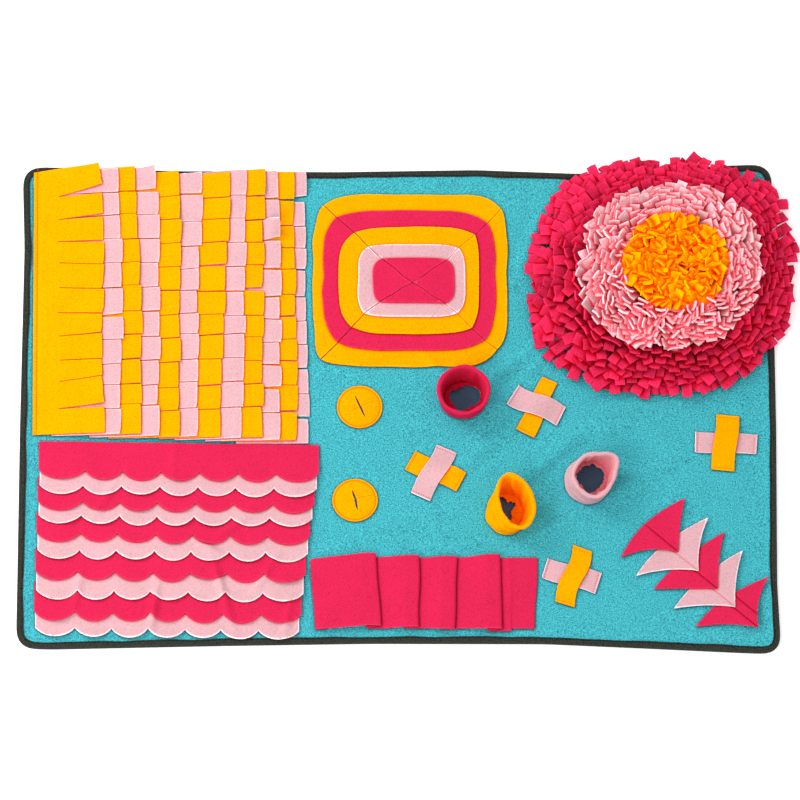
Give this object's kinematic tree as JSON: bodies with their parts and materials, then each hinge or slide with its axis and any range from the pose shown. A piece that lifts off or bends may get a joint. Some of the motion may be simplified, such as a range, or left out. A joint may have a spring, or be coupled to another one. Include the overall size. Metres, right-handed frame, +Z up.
{
  "type": "snuffle mat",
  "caption": "Flat rectangular fleece snuffle mat with overlapping fringes and scallops, slit flaps, pockets, standing tubes, pleats, arrow flaps and a ruffled flower for hiding treats.",
  "frame": {"origin": "middle of the mat's flat underside, on the floor", "axes": "+X along the mat's long side towards the flower, +Y towards the edge with the fringes and the flower, +Z up"},
  "size_m": [1.026, 0.7174, 0.077],
  "materials": {
    "turquoise_fleece": "matt brushed fleece",
    "slate_backing": "matt woven cloth",
    "charcoal_tape": "ribbed woven tape",
    "yellow_fleece": "matt brushed fleece",
    "light_pink_fleece": "matt brushed fleece",
    "hot_pink_fleece": "matt brushed fleece"
  },
  "bodies": {
    "root": {"backing": "slate_backing", "base_fleece": "turquoise_fleece", "binding": "charcoal_tape", "fringe_01": "yellow_fleece", "fringe_02": "light_pink_fleece", "fringe_03": "yellow_fleece", "fringe_04": "light_pink_fleece", "fringe_05": "yellow_fleece", "fringe_06": "light_pink_fleece", "fringe_07": "yellow_fleece", "fringe_08": "light_pink_fleece", "fringe_09": "yellow_fleece", "fringe_10": "light_pink_fleece", "fringe_11": "yellow_fleece", "fringe_12": "light_pink_fleece", "scallop_01": "hot_pink_fleece", "scallop_02": "light_pink_fleece", "scallop_03": "hot_pink_fleece", "scallop_04": "light_pink_fleece", "scallop_05": "hot_pink_fleece", "scallop_06": "light_pink_fleece", "scallop_07": "hot_pink_fleece", "scallop_08": "light_pink_fleece", "scallop_09": "hot_pink_fleece", "scallop_10": "light_pink_fleece", "flap_layer_1": "yellow_fleece", "flap_layer_2": "hot_pink_fleece", "flap_layer_3": "yellow_fleece", "flap_layer_4": "light_pink_fleece", "flap_layer_5": "hot_pink_fleece", "pocket_disc_1": "yellow_fleece", "pocket_disc_2": "yellow_fleece", "cross_1_under": "yellow_fleece", "cross_1_over": "light_pink_fleece", "cross_2_under": "yellow_fleece", "cross_2_over": "light_pink_fleece", "cross_3_under": "light_pink_fleece", "cross_3_over": "yellow_fleece", "cross_4_under": "light_pink_fleece", "cross_4_over": "yellow_fleece", "tube_1": "hot_pink_fleece", "tube_2": "yellow_fleece", "tube_3": "light_pink_fleece", "pleated_strip": "hot_pink_fleece", "arrow_1": "hot_pink_fleece", "arrow_2": "light_pink_fleece", "arrow_3": "hot_pink_fleece", "arrow_4": "light_pink_fleece", "arrow_5": "hot_pink_fleece", "flower_outer": "hot_pink_fleece", "flower_middle": "light_pink_fleece", "flower_core": "yellow_fleece"}
  },
  "joints": []
}
